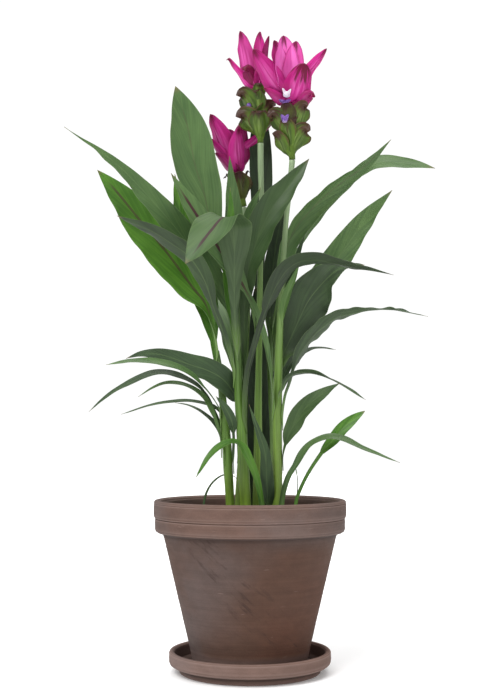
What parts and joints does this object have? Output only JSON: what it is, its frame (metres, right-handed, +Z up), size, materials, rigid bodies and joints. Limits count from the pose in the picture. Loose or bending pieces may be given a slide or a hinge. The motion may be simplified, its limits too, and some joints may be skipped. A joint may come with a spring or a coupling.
{
  "type": "potted siam tulip",
  "caption": "Flowering house plant with long clasping leaves and cupped green and pink bracts, in a collared clay pot on its saucer.",
  "frame": {"origin": "middle of the saucer's flat underside, where the plant stands", "axes": "+Z up along the pot's axis, +X to the right as seen from the front, -Y towards the viewer"},
  "size_m": [0.4067, 0.2659, 0.7202],
  "materials": {
    "clay": "unglazed taupe clay with fine turning lines, matte",
    "soil": "dark potting mix of bark and peat, crumbly",
    "stem": "smooth green leafy stem of rolled sheaths, faint sheen",
    "scape": "smooth pale grey-green flower stalk",
    "leaf_green": "grey-green leaf with fine lengthwise veins, satin",
    "leaf_bright": "bright green leaf with fine lengthwise veins, satin",
    "leaf_dark": "dark green leaf with a greyish underside, satin",
    "bract_green": "green bract with a brown-purple rim, satin",
    "bract_pink": "magenta bract with fine streaks and a dark tip, satin",
    "floret_white": "white petal, soft",
    "floret_violet": "violet petal, soft"
  },
  "bodies": {
    "root": {"saucer": "clay", "pot": "clay", "soil": "soil", "stem_left": "stem", "stem_front": "stem", "stem_rear_right": "stem", "stem_middle": "scape", "stem_right": "scape", "stem_rear_left": "scape", "leaf_01": "leaf_green", "leaf_02": "leaf_bright", "leaf_03": "leaf_green", "leaf_04": "leaf_dark", "leaf_05": "leaf_green", "leaf_06": "leaf_green", "leaf_07": "leaf_bright", "leaf_08": "leaf_green", "leaf_09": "leaf_bright", "leaf_10": "leaf_green", "leaf_11": "leaf_dark", "leaf_12": "leaf_green", "leaf_13": "leaf_green", "leaf_14": "leaf_green", "leaf_15": "leaf_dark", "leaf_16": "leaf_green", "leaf_17": "leaf_dark", "leaf_18": "leaf_dark", "leaf_19": "leaf_bright", "leaf_20": "leaf_dark", "leaf_21": "leaf_dark", "leaf_22": "leaf_dark", "leaf_23": "leaf_green", "leaf_24": "leaf_bright", "leaf_25": "leaf_green", "leaf_26": "leaf_green", "leaf_27": "leaf_bright", "leaf_28": "leaf_dark", "leaf_29": "leaf_dark", "leaf_30": "leaf_green", "leaf_31": "leaf_dark", "leaf_32": "leaf_green", "leaf_33": "leaf_dark", "leaf_34": "leaf_dark", "leaf_35": "leaf_dark", "leaf_36": "leaf_dark", "leaf_37": "leaf_dark", "leaf_38": "leaf_green", "leaf_39": "leaf_green", "leaf_40": "leaf_dark", "leaf_41": "leaf_dark", "green_bracts_1": "bract_green", "pink_bracts_1": "bract_pink", "green_bracts_2": "bract_green", "pink_bracts_2": "bract_pink", "green_bracts_3": "bract_green", "pink_bracts_3": "bract_pink", "floret_1": "floret_violet", "floret_2_white": "floret_white", "floret_2_lip": "floret_violet", "floret_2_lower": "floret_violet"}
  },
  "joints": []
}
